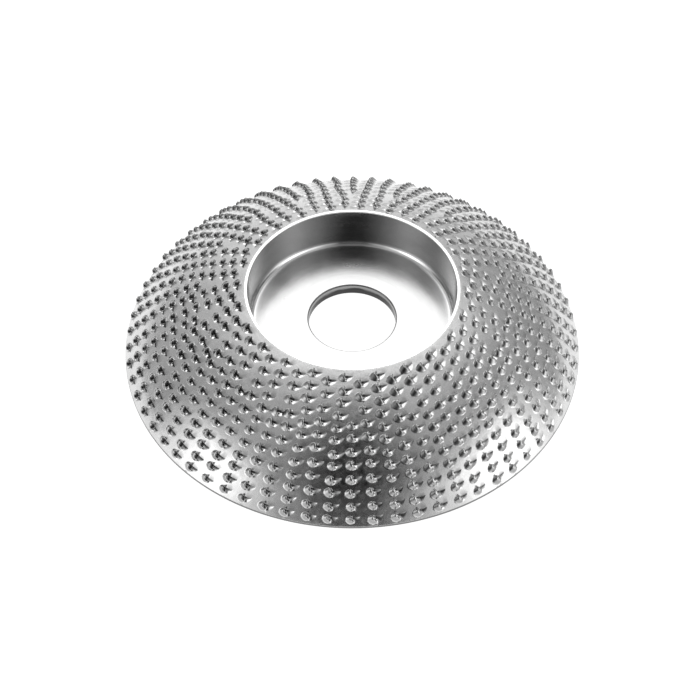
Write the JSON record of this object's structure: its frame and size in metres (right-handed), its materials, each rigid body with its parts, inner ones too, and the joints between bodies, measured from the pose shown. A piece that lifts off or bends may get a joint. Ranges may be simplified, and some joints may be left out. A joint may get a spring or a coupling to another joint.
{
  "type": "angle grinder carving disc",
  "caption": "Dished steel rasp disc for an angle grinder: rows of raised teeth on its outer face cut wood, and a sunk hub with a central bore takes the lock nut.",
  "frame": {"origin": "centre of the rim's base plane, on the disc's axis", "axes": "+Z along the axis towards the toothed face and the lock nut; X and Y are in the base plane"},
  "size_m": [0.084, 0.084, 0.0167],
  "materials": {
    "toothed_steel": "bright semi-gloss stitched steel, finely grained, with sharp raised teeth",
    "turned_steel": "fine turned steel, brighter and smoother than the toothed face",
    "weld_steel": "dull rippled fillet weld with a little heat tint"
  },
  "bodies": {
    "root": {"toothed_dish": "toothed_steel", "hub_cup": "turned_steel", "seam_weld": "weld_steel"}
  },
  "joints": []
}
